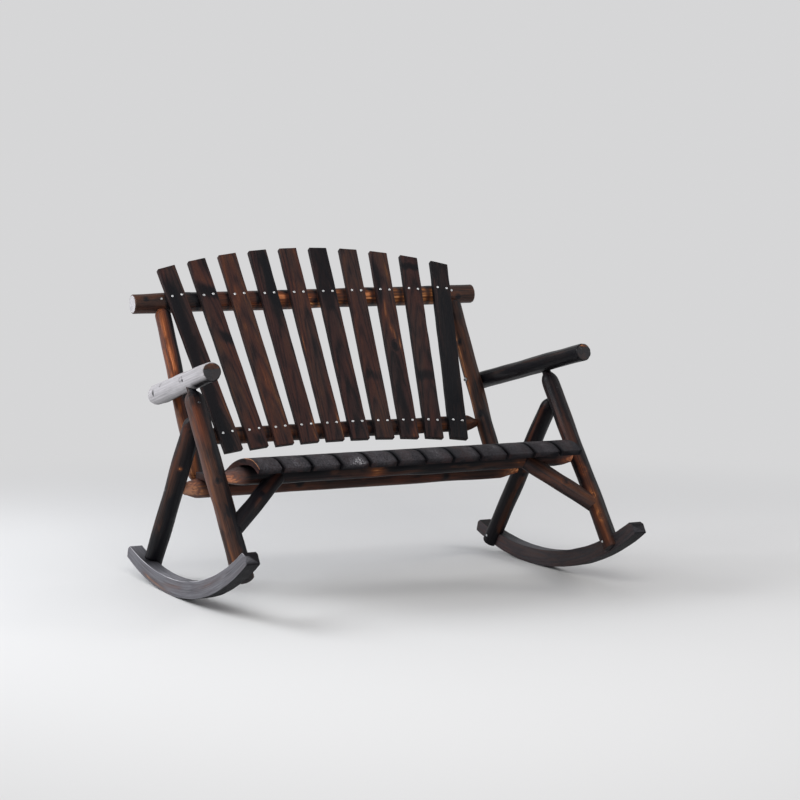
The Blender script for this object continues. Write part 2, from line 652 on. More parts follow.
def hewnEnds(radius, tip, leftFull, rightFull, hew, seed):
    rng = np.random.RandomState(seed)
    facets, stray = hewn["facets"], hewn["stray"]
    facings = [math.radians(360 / facets * k) + rng.uniform(-stray, stray) for k in range(facets)]
    lean = rng.uniform(*hewn["lean"], 2 * facets)

    def shape(t, turn):
        result = np.full(np.broadcast(t, turn).shape, radius)
        for end, past in enumerate((leftFull - t, t - rightFull)):
            u = np.clip(past / hew, 0, 1)
            for k, facing in enumerate(facings):
                plane = radius - (radius - tip) * np.clip(u * lean[k + facets * end], 0, 1)
                gap = angleGap(turn, facing + hewn["twist"] * end)
                result = np.where(u > 0, cutFlat(result, plane, gap, logShape["trimReach"]), result)
            result = np.where(u >= 1, np.minimum(result, tip), result)
        return result
    return shape


def buildRail(part, middle, half, look, fit):  # full round between its two hewn points
    half = half + fit["past"]
    leftFull, rightFull = half - look["full"][0], half + look["full"][1]
    shape = hewnEnds(look["radius"], fit["tip"], leftFull, rightFull, fit["hew"], look["seed"])
    buildLog(part, middle - half * across, across, np.array([0, -1.0, 0]), 2 * half, shape, look, logWood)


slatCount = 10


def slatBands(half, pitch, shift, wide, amount):  # darker wood beside each back slat
    middle = (slatCount - 1) / 2
    return [(half + pitch * (i - middle) + shift, wide, amount) for i in range(slatCount)]


seatRails = {
    "front_seat_rail": {
        "radius": 0.0275, "full": (0.5065, 0.5095), "seed": 31, "burn": 0.84, "endBurn": 0.3,
        "streaks": [
            (30, 22, -0.16, 0.0, 1.0), (-45, 20, 0.15, 0.0, 1.0), (10, 100, -1.05, -0.1, 0.058),
            (10, 100, -0.74, 0.944, 1.1),
        ],
        "frosts": [(0, 180, 0.4, -0.1, 0.055), (0, 180, 0.26, 0.95, 1.1)],
        "knots": [
            (0.36, -10, 0.005, 0.5, -0.5), (0.49, 12, 0.012, 0.1, -0.42), (0.514, 2, 0.01, 0.1, -0.36),
            (0.735, -20, 0.008, 0.9, -0.1), (0.98, 0, 0.011, 0.6, -0.45),
        ],
    },
    "rear_seat_rail": {
        "radius": 0.0285, "full": (0.507, 0.509), "seed": 32, "burn": 0.53, "endBurn": 0.25,
        "streaks": [(0, 110, -0.62, -0.1, 0.064), (0, 90, -0.4, 0.938, 1.1), (-40, 40, 0.2, 0.07, 0.93)],
        "frosts": [(0, 180, 0.46, -0.1, 0.058)], "knots": [(0.4, 0, 0.01), (0.9, 20, 0.01)],
    },
}
seatRailFit = {"past": 0.006, "hew": 0.054, "tip": 0.015}
backRailFit = {"past": 0.006, "hew": 0.034, "tip": 0.012}
buildRail("front_seat_rail", frontRail, legX, seatRails["front_seat_rail"], seatRailFit)
buildRail("rear_seat_rail", rearRail, legX, seatRails["rear_seat_rail"], seatRailFit)

lowerRail = {
    "radius": 0.0255, "full": (0.4435, 0.445), "seed": 33, "burn": 0.42, "endBurn": 0.3,
    "streaks": [(-50, 30, 0.15, 0.0, 1.0)],
    "bands": slatBands(0.512, 0.088, -0.033, 0.005, 0.3),
    "knots": [(0.22, 0, 0.009, 1, -0.3), (0.71, 10, 0.009)],
}
lowerOut = bench["postSetback"] + bench["backRailSetback"]
lowerMiddle = inBack(0, lowerOut, bench["lowerRailUp"])
buildRail("lower_back_rail", lowerMiddle, bench["postX"], lowerRail, backRailFit)

topRail = {
    "radius": 0.031, "half": 0.592, "tilt": 0.4, "seed": 34, "burn": 0.42, "endBurn": 0.72,
    "startFrost": 1.2, "bands": slatBands(0.592, 0.1005, -0.034, 0.007, 0.4),
    "streaks": [
        (0, 90, 0.1, -0.1, 0.2), (0, 180, 0.08, 0.93, 1.1), (15, 60, -0.3, 0.36, 0.9),
        (70, 30, -0.1, 0.3, 0.95), (-60, 30, 0.12, 0.0, 1.0),
    ],
    "knots": [
        (0.035, -5, 0.01, 0.8), (0.12, 30, 0.01, 0.4, 0.3), (0.21, -20, 0.014, 0.2, 0.3),
        (0.18, -60, 0.01, 0.4, 0.3), (0.42, 5, 0.011, 0.8, 0.25), (0.5, -40, 0.009, 1, 0.2),
        (0.6, 40, 0.009), (0.8, -30, 0.01), (0.93, 0, 0.007, 1.4), (1.02, -30, 0.01), (1.12, 40, 0.009),
    ],
}
slatBackOut = lowerOut - lowerRail["radius"]
topOut = slatBackOut + topRail["radius"]
tilt = math.radians(topRail["tilt"])
topWay = math.cos(tilt) * across + math.sin(tilt) * backUp
topFront = -backOut
topStart = inBack(0, topOut, bench["topRailUp"]) - topRail["half"] * topWay
headPockets = []
for side in (leftSide, rightSide):
    headAt = topStart + (topRail["half"] + side * bench["postX"]) * topWay
    headAt = headAt + (topRail["radius"] - armFit["screwSink"]) * topFront
    headPockets.append((headAt, topFront, armFit["screwPocket"]))
buildLog("top_rail", topStart, topWay, topFront, 2 * topRail["half"], roundLog(topRail["radius"]), topRail,
         armWood, headPockets)
print("rails made")


posts = {
    leftSide: {
        "seed": 41, "burn": 0.355, "endBurn": 0.5,
        "streaks": [
            (-35, 40, -0.06, 0.0, 0.9), (34, 34, 0.6, 0.0, 1.0), (-25, 26, -0.08, 0.4, 0.74),
            (-30, 60, -0.12, 0.935, 0.99),
        ],
        "knots": [(0.3, 10, 0.008, 0.5)], "frosts": [(-112, 34, 0.26, 0.0, 1.0)],
    },
    rightSide: {
        "seed": 42, "burn": 0.58, "endBurn": 0.5,
        "streaks": [(-84, 17, -0.38, 0.0, 1.0), (20, 34, 0.07, 0.0, 1.0)],
        "knots": [(0.2, -40, 0.008), (0.46, -60, 0.008)],
    },
}
postFit = {"past": 0.008, "tip": 0.013, "taper": 0.034, "blunt": 0.020, "shoulderUp": 0.0295,
           "footCurve": 3.6, "headCurve": 2.4, "railGap": 0.001, "nutSink": 0.003, "nutPocket": 0.0085}
for side, look in posts.items():
    look["radius"] = postRadius[side]
    topUp = bench["topRailUp"] + side * bench["postX"] * math.tan(tilt)
    low, high = postFit["shoulderUp"], topUp - topRail["radius"] - postFit["railGap"]

    def postShape(t, turn, radius=look["radius"], high=high):
        up = t - postFit["past"]
        atFoot = np.clip((low + postFit["taper"] - up) / postFit["taper"], 0, 1) ** postFit["footCurve"]
        atHead = np.clip((up - high + postFit["blunt"]) / postFit["blunt"], 0, 1) ** postFit["headCurve"]
        return postFit["tip"] + (radius - postFit["tip"]) * (1 - np.maximum(atFoot, atHead)) + 0 * turn

    def behindRail(points, topUp=topUp):
        up = (points - rearRail) @ backUp - topUp
        out = (points - rearRail) @ backOut
        limit = topOut - np.sqrt(np.clip(topRail["radius"] ** 2 - up ** 2, 0, None)) + postFit["railGap"]
        near = (np.abs(up) < topRail["radius"]) & (out < limit)
        points[near] += (limit - out)[near, None] * backOut
        return points

    foot = inBack(side * bench["postX"], bench["postSetback"], -postFit["past"])
    nutX = side * (bench["postX"] - look["radius"] + postFit["nutSink"])
    nutAt = inBack(nutX, bench["postSetback"], bench["armUp"])
    buildLog("back_post_" + sideName(side), foot, backUp, -backOut, topUp + 2 * postFit["past"], postShape,
             look, logWood, [(nutAt, -side * across, postFit["nutPocket"])], behindRail)

braces = {
    leftSide: {
        "radius": 0.025, "seed": 51, "burn": 0.9, "endBurn": 0.8, "streaks": [(10, 18, -0.16, 0.0, 1.0)],
        "knots": [(0.15, 10, 0.008)],
    },
    rightSide: {
        "radius": 0.025, "seed": 52, "burn": 0.62, "endBurn": 0.8,
        "streaks": [(-15, 24, -0.18, 0.0, 1.0)], "knots": [(0.12, -10, 0.008, 1, -0.2)],
        "frosts": [(-60, 22, 0.08, 0.0, 1.0)],
    },
}
braceFit = {"drop": 0.179, "run": 0.193, "sink": 0.0015}


def copedEnds(foot, way, legRadius, railPlace):  # where each line along the brace meets leg and rail
    front = sideways(frontUp)
    third = np.cross(way, front)

    def meeting(offset, axis, other, radius, sign):
        along = way - (way @ axis) * axis
        away = offset + other - (offset + other) @ axis[:, None] * axis
        b, c = away @ along, np.sum(away * away, axis=-1) - radius ** 2
        a = along @ along
        return (-b + sign * np.sqrt(np.maximum(b * b - a * c, 0))) / a

    def ends(radius, turn):
        offset = (radius * np.cos(turn))[..., None] * front + (radius * np.sin(turn))[..., None] * third
        first = meeting(offset, frontUp, foot * 0, legRadius - braceFit["sink"], 1)
        railCut = seatRails["front_seat_rail"]["radius"] - braceFit["sink"]
        last = meeting(offset, across, foot - railPlace, railCut, -1)
        return first, last
    return ends


for side, look in braces.items():
    foot = frontRail - frontUp * braceFit["drop"] + side * legX * across
    way = -side * braceFit["run"] * across + braceFit["drop"] * frontUp
    braceLength = np.linalg.norm(way)
    way = way / braceLength
    buildLog("brace_" + sideName(side), foot, way, sideways(frontUp), braceLength, roundLog(look["radius"]),
             look, logWood, cope=copedEnds(foot, way, frontLegs[side]["radius"], frontRail))
print("posts and braces made")


# boards

boardShape = {"step": 0.006, "across": 0.0045, "edge": 0.0022, "columnGap": 0.001, "endRound": 0.0016,
              "wave": 0.00022, "wobble": 0.0003, "sideColumns": 7, "arcColumns": 4, "backColumns": 12}


def boardSection(flat):  # for each point of the outline: place and corner across, then in depth
    side = np.linspace(1, -1, boardShape["sideColumns"])[1:-1]
    arc = np.linspace(0, math.pi / 2, boardShape["arcColumns"])
    back = np.linspace(1, -1, boardShape["backColumns"])[1:-1]
    rows = [(u, 0, 1, 1) for u in flat]
    rows += [(1, math.sin(q), 1, math.cos(q)) for q in arc]
    rows += [(1, 1, v, 0) for v in side]
    rows += [(1, math.cos(q), -1, -math.sin(q)) for q in arc]
    rows += [(u, 0, -1, -1) for u in back]
    rows += [(-1, -math.sin(q), -1, -math.cos(q)) for q in arc]
    rows += [(-1, -1, -v, 0) for v in side]
    rows += [(-1, -math.cos(q), 1, math.sin(q)) for q in arc]
    return np.array(rows).T


def faceColumns(width, screws=()):  # places from -1 to 1, closer together at the screws
    half = width / 2 - boardShape["edge"]
    columns = np.linspace(-half, half, int(width / boardShape["across"]) + 1)[1:-1]
    for x in screws:
        columns = finer(columns, x, fine["screwReach"], fine["step"])
    return columns[np.abs(columns) < half - boardShape["columnGap"]] / half


def buildBoard(part, t, middle, sideWay, outward, width, depth, look, material, flat,
               pockets=(), trim=None, straightGrain=False, endCut=0):
    # t, middle, sideWay, outward and width have one row for each station; middle runs inside the board
    edge, seed = boardShape["edge"], look["seed"]
    place, cornerAcross, depthPlace, cornerDepth = boardSection(flat)[:, None, :]
    along = t[:, None]
    span = np.broadcast_to(width, t.shape)[:, None]
    length = t[-1]
    aside = place * (span / 2 - edge) + cornerAcross * edge
    height = depthPlace * (depth / 2 - edge) + cornerDepth * edge
    waves = bumps(seed, along, aside * 45, (0.08, 0.4), (0, 3), 1.0)
    inward = np.clip(boardShape["wave"] * (1.2 + waves), 0, 1)
    inward = inward + easedInset(along, length, boardShape["endRound"])
    wobble = bumps(seed + 1, along, 0, (0.05, 0.3), (0, 0), 1.0)
    edgeInward = np.clip(boardShape["wobble"] * (1 + wobble), 0, 1)
    aside = aside - cornerAcross * (inward + edgeInward)
    height = height - cornerDepth * inward
    share = place + 0 * along
    share = np.where(np.abs(place) >= 1, place * (1 + 0.04 * np.abs(cornerAcross)), share)
    burn = np.full(share.shape, float(look["burn"]))
    knotTone = np.zeros(share.shape)
    frost = look.get("frost", 0) * (cornerDepth > 0.5) + 0 * share
    arris = (place > 0.99) & (cornerDepth > 0.2) & (cornerAcross > 0.2)
    drift = bumps(seed + 2, along, 0, (0.15, 0.5), (0, 0), 0.12)
    for u, wide, low, high, amount in look["patches"]:
        ragged = along / length + 0.006 * bumps(seed + 4, 0 * along, share * 2, (1, 2), (1, 3), 1.0)
        ragged = ragged + look.get("slant", 0) * share
        soft = min(0.09, (high - low) / 2)
        burn = burn + amount * hill(share + drift - u, wide) * between(ragged, low, high, soft)
    for u, at, size, amount in look.get("knots", ()):
        distance = np.hypot((share - u) * span / 2, (along - at * length) * 0.6)
        knotTone = knotTone + amount * hill(distance, size)
    for u, wide, low, high, amount in look.get("worn", ()):
        frost = frost + amount * hill(share - u, wide) * between(along / length, low, high, 0.05)
    for wide, low, high, amount in look.get("charredEdges", ()):
        near = hill(1 - np.abs(share), wide) * between(along / length, low, high, 0.1)
        burn, frost = burn + amount * near, frost * (1 - near)
    frost = np.where(arris, look.get("arrisFrost", frost), frost)
    outer = np.abs(cornerAcross) > 0.7
    isBack = (depthPlace < 0) & (cornerDepth < -0.5)
    burn = np.where(outer & (place < 0), look["leftBurn"], burn)
    burn = np.where(outer & (place > 0), look.get("rightBurn", look["burn"]), burn)
    burn = np.where(isBack, look["backBurn"], burn)
    frost = np.where(isBack, look.get("backFrost", 0), frost)
    for low, high, amount in look.get("upperFrosts", ()):
        isUpper = outer & (place > 0.99) & (cornerDepth < 0.5)
        frost = np.where(isUpper, frost + amount * between(along / length, low, high, 0.16), frost)
    if "rawArris" in look:  # pale raw wood at the left edge
        bare = (place < -0.99) & (cornerDepth > 0.2) & (cornerAcross < -0.2)
        bare = bare * between(along / length, *look["rawArris"])
        burn, frost = burn + bare * (0.12 - burn), frost * (1 - bare)
    isEnd = (along < 1e-5) | (along > length - 1e-5)
    burn = np.where(isEnd, look["endBurn"], burn)
    points = middle[:, None] + aside[..., None] * sideWay[:, None] + height[..., None] * outward[:, None]
    if endCut:  # the far end is cut at a slant
        slantShare = np.clip((along - 0.6 * length) / (0.4 * length), 0, 1)
        points = points + (endCut * slantShare * aside)[..., None] * np.cross(outward, sideWay)[:, None]
    points = points.reshape(-1, 3)
    cutPockets(points, pockets, burn)
    if trim:
        points = trim(points)
    if straightGrain:  # sawn out of a straight plank, so the grain runs level through the curves
        x, y, z = points.T
        woodPos = np.stack([x + 0.31 * seed + 0.02, z - 0.29, y + woodShift * seed], axis=-1)
    else:
        pith = look.get("pith", (0.006, -0.05))
        rise = 0.02 * along / length
        grain = along + 0 * aside + woodShift * seed
        woodPos = np.stack([aside - pith[0], height - pith[1] + rise, grain], axis=-1).reshape(-1, 3)
    tone = np.stack([np.clip(burn, -0.4, 1.4), knotTone, frost], axis=-1).reshape(-1, 3)
    faces = tubeFaces(len(t), len(place[0]))
    return addPiece(part + "_board", part, points, faces, woodPos, tone, material, 2)


def boardStations(length):
    return stationsAlong(length, boardShape["step"], boardShape["endRound"])


def evenRows(vector, count):
    return np.broadcast_to(vector, (count, 3))


backSlats = {
    "width": 0.061, "depth": 0.018, "pitchLow": 0.0852, "pitchHigh": 0.1058, "drop": 0.069,
    "lowArch": 0.017, "above": 0.098, "highArch": 0.062, "screwArch": 0.014, "screwGap": 0.032,
}
# patches: place across from -1 to 1, width, from and to along the board, change of burn
# knots: place across, share of the length, size, amount
slatLooks = [
    {"burn": 0.58, "patches": [(-0.5, 0.8, 0.0, 0.93, 0.42), (0.85, 0.2, 0.06, 0.34, -0.22)]},
    {
        "burn": 0.5, "slant": 0.02,
        "patches": [
            (0.1, 1.2, 0.8, 0.86, 0.42), (0.4, 0.8, 0.555, 0.61, 0.45), (0.8, 0.5, 0.93, 1.1, 0.35),
            (0.2, 0.5, 0.02, 0.07, 0.3),
        ],
    },
    {"burn": 0.44, "patches": [(-0.5, 0.4, 0.2, 0.5, 0.06), (0.7, 0.1, 0.0, 0.9, -0.08)]},
    {
        "burn": 0.56,
        "patches": [
            (0.4, 0.7, 0.62, 1.0, 0.34), (0.8, 0.14, 0.0, 0.12, -0.4), (-0.6, 0.4, 0.4, 0.6, 0.12),
        ],
        "knots": [(0.9, 0.7, 0.007, 0.5)],
    },
    {
        "burn": 0.5,
        "patches": [
            (-0.92, 0.1, 0.44, 0.54, -0.26), (0.85, 0.1, 0.0, 0.22, -0.28), (0.3, 0.12, 0.0, 0.7, 0.14),
        ],
    },
    {
        "burn": 0.58,
        "patches": [(0, 1.4, 0.7, 1.1, 0.26), (-0.3, 0.4, 0.0, 0.5, 0.14), (0.5, 0.4, 0.1, 0.3, 0.2)],
    },
    {"burn": 0.53, "patches": [(0, 1.4, 0.3, 0.34, 0.22), (0.3, 0.5, 0.6, 0.8, 0.1)]},
    {
        "burn": 0.55,
        "patches": [
            (-0.75, 0.4, 0.7, 0.95, 0.4), (0.4, 0.5, 0.8, 1.1, -0.14), (-0.3, 0.16, 0.62, 0.74, -0.3),
            (-0.05, 0.2, 0.56, 0.66, -0.34), (0.25, 0.2, 0.5, 0.59, -0.36),
            (0.62, 0.1, 0.47, 0.53, -0.36), (0.8, 0.12, 0.7, 1.1, -0.12), (-0.2, 0.7, 0.02, 0.4, 0.3),
            (0.6, 0.3, 0.0, 0.05, -0.25),
        ],
        "knots": [(0.05, 0.485, 0.0095, 1.0)],
    },
    {
        "burn": 0.61,
        "patches": [(0, 1.6, 0.925, 0.955, 0.4), (0, 1.6, 0.31, 0.36, 0.3), (-0.3, 0.6, 0.88, 1.1, -0.1)],
    },
    {"burn": 0.8, "patches": [(0.0, 0.8, 0.2, 0.8, 0.12), (-0.9, 0.2, 0.5, 0.9, -0.15)]},
]
half = (slatCount - 1) / 2
slatOut = slatBackOut - backSlats["depth"]
backScrews, seatScrews = [], []
for i, look in enumerate(slatLooks):
    n = i - half
    curve = 1 - (n / half) ** 2
    lowUp = bench["lowerRailUp"] - backSlats["drop"] + curve * backSlats["lowArch"]
    highUp = bench["topRailUp"] + backSlats["above"] + curve * backSlats["highArch"]
    low = np.array([n * backSlats["pitchLow"], lowUp])
    high = np.array([n * backSlats["pitchHigh"], highUp])
    length = np.linalg.norm(high - low)
    sinFan, cosFan = (high - low) / length
    way = sinFan * across + cosFan * backUp
    aside = cosFan * across - sinFan * backUp
    t = boardStations(length)
    start = inBack(low[0], slatOut + backSlats["depth"] / 2, low[1])
    look.update(seed=61 + 3 * i, leftBurn=look["burn"] + 0.12, backBurn=0.75, endBurn=0.6,
                pith=(0.012 * math.sin(5 * i), -0.03 - 0.02 * (i % 3)))
    rows = len(t)
    archSlope = 2 * backSlats["highArch"] * n / half ** 2 / backSlats["pitchHigh"]
    cut = math.atan2(sinFan, cosFan) - math.atan(archSlope)
    buildBoard("back_slat_%02d" % (i + 1), t, start + t[:, None] * way, evenRows(aside, rows),
               evenRows(-backOut, rows), backSlats["width"], backSlats["depth"], look, boardWood,
               faceColumns(backSlats["width"]), endCut=math.tan(cut))
    for level in (bench["lowerRailUp"], bench["topRailUp"]):
        if level == bench["topRailUp"]:
            up = level + (low[0] + (level - low[1]) / cosFan * sinFan) * math.tan(tilt)
        else:
            up = level + backSlats["screwArch"] * (curve - 0.5)
        for u in (-0.5, 0.5):
            at = inBack(low[0], slatOut, low[1]) + (up - low[1]) / cosFan * way
            at = at + u * backSlats["screwGap"] * aside
            backScrews.append((at, -backOut, 1.3 * i + u + up))
print("back slats made")


seat = {
    "count": 12, "width": 0.083, "endWidth": 0.07, "gap": 0.0063, "depth": 0.02, "crestAhead": 0.075,
    "fallRadius": 0.335, "noseRadius": 0.13, "noseAngle": 33, "over": 0.008, "rest": 0.0002,
    "screwGap": 0.04, "screwSink": 0.0025, "pocket": 0.0047, "postGap": 0.002,
}
frontRadius, rearRadius = seatRails["front_seat_rail"]["radius"], seatRails["rear_seat_rail"]["radius"]
levelZ = bench["rearRailHeight"] + rearRadius + seat["rest"] + seat["depth"]
crestY = frontRail[1] - seat["crestAhead"]
innerFall = seat["fallRadius"] - seat["depth"] - seat["rest"] - frontRadius
fallCentre = np.array([crestY, frontRail[2] - math.sqrt(innerFall ** 2 - seat["crestAhead"] ** 2)])
noseCentre = fallCentre + [0, seat["fallRadius"] - seat["noseRadius"]]
fallAngle = math.acos((levelZ + seat["fallRadius"] - fallCentre[1]) / (2 * seat["fallRadius"]))
hollowY = crestY + 2 * seat["fallRadius"] * math.sin(fallAngle)
hollowCentre = np.array([hollowY, levelZ + seat["fallRadius"]])
levelLength = rearRail[1] + seat["over"] - hollowCentre[0]
noseArc = seat["noseRadius"] * math.radians(seat["noseAngle"])
fallArc = seat["fallRadius"] * fallAngle


def onArc(centre, radius, angle):
    away = np.array([math.sin(angle), math.cos(angle)])
    return centre + radius * away, away


def seatCurve(s):  # the seat's upper side so far from the nose: place and outward direction, y and z
    radius = seat["fallRadius"]
    if s < noseArc:
        angle = s / seat["noseRadius"] - math.radians(seat["noseAngle"])
        return onArc(noseCentre, seat["noseRadius"], angle)
    if s < noseArc + fallArc:
        return onArc(fallCentre, radius, (s - noseArc) / radius)
    if s < noseArc + 2 * fallArc:
        return onArc(hollowCentre, -radius, fallAngle - (s - noseArc - fallArc) / radius)
    return hollowCentre + [s - noseArc - 2 * fallArc, -radius], np.array([0, 1.0])


seatLength = noseArc + 2 * fallArc + levelLength
railAngle = math.atan(seat["crestAhead"] / (frontRail[2] - fallCentre[1]))
frontScrewAt = noseArc + seat["fallRadius"] * railAngle
rearScrewAt = seatLength - seat["over"]


def clearOfPost(side):  # the outer seat boards are cut out round the back posts
    axis = inBack(side * bench["postX"], bench["postSetback"], 0)
    reachOut = postRadius[side] + seat["postGap"]

    def trim(points):
        along = (points - axis) @ backUp
        away = points - axis - along[:, None] * backUp
        distance = np.linalg.norm(away, axis=1)
        inside = distance < reachOut
        points[inside] += away[inside] * (reachOut / distance[inside] - 1)[:, None]
        return points
    return trim


def seatLook(i):  # worn: place across, width, from and to along the board, amount
    rng = np.random.RandomState(300 + i)
    look = {"burn": 0.84 + rng.uniform(-0.06, 0.06), "seed": 101 + 3 * i, "endBurn": 0.80, "backBurn": 0.75,
            "leftBurn": 0.97, "rightBurn": 0.97, "frost": (0.36 if i < 5 else 0.16) + 0.2 * rng.uniform(),
            "patches": [(rng.uniform(-0.8, 0.8), 0.3, 0.1, 0.7, -0.15)],
            "worn": [(rng.uniform(-0.7, 0.7), 0.4, 0.0, 0.22, 0.36 * rng.uniform())],
            "charredEdges": [(0.10, -0.1, 0.26, 0.6)]}
    if i == 3:
        look["worn"] += [(0.4, 0.5, -0.1, 0.05, 0.52), (-0.25, 0.35, -0.1, 0.04, 0.36)]
    if i == 8:
        look["worn"] += [(0.6, 0.25, 0.06, 0.13, 0.5)]
    if i == 0:
        look.update(leftBurn=0.60, charredEdges=[], rawArris=(-0.1, 0.24))
    return look


seatT = boardStations(seatLength)
for at in (frontScrewAt, rearScrewAt):
    seatT = finer(seatT, at, fine["screwReach"], fine["step"])
seatT = seatT[seatT <= seatLength]
curve = [seatCurve(s) for s in seatT]
facePoint = np.array([[0, p[0], p[1]] for p, away in curve])
faceWay = np.array([[0, away[0], away[1]] for p, away in curve])
inner = (seat["count"] - 2) * seat["width"] + (seat["count"] - 1) * seat["gap"]
for i in range(seat["count"]):
    isEnd = i in (0, seat["count"] - 1)
    width = seat["endWidth"] if isEnd else seat["width"]
    x0 = -inner / 2 - seat["endWidth"]
    if i > 0:
        x0 += seat["endWidth"] + seat["gap"] + (i - 1) * (seat["width"] + seat["gap"])
    screwEdge = (seat["width"] - seat["screwGap"]) / 2
    xs = [x0 + width / 2 - seat["screwGap"] / 2, x0 + width / 2 + seat["screwGap"] / 2]
    if i == 0:
        xs = [x0 + width - screwEdge]
    if i == seat["count"] - 1:
        xs = [x0 + screwEdge]
    pockets = []
    for at in (frontScrewAt, rearScrewAt):
        place, away = seatCurve(at)
        outward = np.array([0, away[0], away[1]])
        for x in xs:
            floor = np.array([x, place[0], place[1]]) - seat["screwSink"] * outward
            pockets.append((floor, outward, seat["pocket"]))
            seatScrews.append((floor, outward, 2.1 * i + at + x))
    middleX = x0 + width / 2
    trim = clearOfPost(leftSide if i == 0 else rightSide) if isEnd else None
    middle = facePoint - seat["depth"] / 2 * faceWay + middleX * across
    columns = faceColumns(width, [x - middleX for x in xs])
    buildBoard("seat_slat_%02d" % (i + 1), seatT, middle, evenRows(across, len(seatT)), faceWay, width,
               seat["depth"], seatLook(i), seatWood, columns, pockets, trim, True)
print("seat slats made")


# upperFrosts: from and to along the upper edge, amount
rockerLooks = {
    leftSide: {
        "burn": 0.72, "seed": 151, "endBurn": 1.1, "backBurn": 0.8, "leftBurn": 1.1, "rightBurn": 0.9,
        "frost": 0.66, "arrisFrost": 1.7, "upperFrosts": [(0.5, 0.78, 0.9), (0.93, 1.1, 0.7)],
        "patches": [
            (-0.5, 0.3, 0.62, 0.86, -0.45), (0.1, 0.2, 0.5, 0.7, -0.35), (0.3, 0.2, 0.2, 0.35, -0.3),
        ],
        "worn": [
            (-0.5, 0.3, 0.66, 0.84, -0.32), (0.1, 0.2, 0.52, 0.68, -0.25), (0.3, 0.2, 0.2, 0.35, -0.2),
        ],
    },
    rightSide: {
        "burn": 0.52, "seed": 154, "endBurn": 1.1, "backBurn": 0.6, "leftBurn": 1.1, "rightBurn": 0.85,
        "frost": 0.1, "backFrost": 0.13, "upperFrosts": [(0.2, 0.5, 0.35)],
        "patches": [(0.2, 0.3, 0.2, 0.6, -0.08)],
    },
}
rockerSize = {"thick": 0.042, "clip": 0.012, "endReach": 0.014, "endStep": 0.002, "faceWidth": 0.05}
frontAngle = math.asin(bench["rockerFront"] / bench["rockerRadius"])
rearAngle = math.asin(bench["rockerRear"] / bench["rockerRadius"])
topHeight = bench["rockerDepth"] + bench["rockerTopRadius"]
topAway = np.array([bench["rockerShift"], topHeight - bench["rockerRadius"]])
for side, look in rockerLooks.items():
    arcLength = (frontAngle + rearAngle) * bench["rockerRadius"]
    t = boardStations(arcLength)
    for at in (0, arcLength):
        t = finer(t, at, rockerSize["endReach"], rockerSize["endStep"])
    t = t[(t >= 0) & (t <= arcLength)]
    t[0], t[-1] = 0, arcLength
    angle = t / bench["rockerRadius"] - frontAngle if side < 0 else rearAngle - t / bench["rockerRadius"]
    down = np.stack([0 * t, np.sin(angle), -np.cos(angle)], axis=-1)
    toTop = down[:, 1:] @ topAway
    topReachOf = toTop + np.sqrt(toTop ** 2 - topAway @ topAway + bench["rockerTopRadius"] ** 2)
    clip = np.clip(rockerSize["clip"] - np.minimum(t, arcLength - t), 0, None)
    topReachOf = topReachOf + clip
    hub = np.array([side * (legX + rockerSize["thick"] / 2), rockY, bench["rockerRadius"]])
    middle = hub + down * ((bench["rockerRadius"] + topReachOf) / 2)[:, None]
    buildBoard("rocker_" + sideName(side), t, middle, -down, evenRows(side * across, len(t)),
               bench["rockerRadius"] - topReachOf, rockerSize["thick"], look, rockerWood,
               faceColumns(rockerSize["faceWidth"]))
print("rockers made")


# screws

screwShape = {"shank": 0.002, "length": 0.038, "tip": 0.0004, "point": 0.004, "head": 0.0042,
              "rise": 0.0018, "brim": 0.35, "rounding": 0.28, "cross": 0.0023, "slot": 0.0006,
              "crossDepth": 0.0012, "crossRings": (0.62, 0.54, 0.46, 0.38, 0.30, 0.22, 0.14, 0.06),
              "around": 32}


def buildScrews(part, places):  # round heads with a cross recess on plain shanks, all in one mesh
    angles = np.linspace(0, 2 * math.pi, screwShape["around"], endpoint=False)
    shank, head, rise = screwShape["shank"], screwShape["head"], screwShape["rise"]
    tip, brim = -screwShape["length"], screwShape["brim"]
    profile = [(screwShape["tip"], tip), (shank, tip + screwShape["point"]), (shank, 0), (head, 0),
               (head, brim * rise)]
    for q in (0.35, 0.7, 1.0):
        up = brim + (1 - brim) * math.sin(q * math.pi / 2)
        profile.append((head * (1 - screwShape["rounding"] * q), rise * up))
    profile += [(head * r, rise) for r in screwShape["crossRings"]]
    allPoints, faces = [], []
    rings, around = len(profile), len(angles)
    for n, (centre, outward, spin) in enumerate(places):
        aside = np.cross(outward, [0.3, 0.2, 0.93])
        aside = aside / np.linalg.norm(aside)
        third = np.cross(outward, aside)
        for r, z in profile:
            x, y = r * np.cos(angles), r * np.sin(angles)
            inCross = ((np.abs(x) < screwShape["slot"]) & (np.abs(y) < screwShape["cross"])
                       | (np.abs(y) < screwShape["slot"]) & (np.abs(x) < screwShape["cross"]))
            depth = np.where(inCross & (z >= rise), screwShape["crossDepth"], 0)
            turned = x * math.cos(spin) - y * math.sin(spin), x * math.sin(spin) + y * math.cos(spin)
            allPoints.append(centre + turned[0][:, None] * aside + turned[1][:, None] * third
                             + (z - depth)[:, None] * outward)
        base = n * rings * around
        faces += [tuple(base + k for k in face) for face in tubeFaces(rings, around)]
    points = np.concatenate(allPoints)
    return addPiece(part + "_steel", part, points, faces, points, points * 0, screwSteel)


buildScrews("back_slat_screws", backScrews)
buildScrews("seat_slat_screws", seatScrews)
print("screws made")


# camera, floor and light

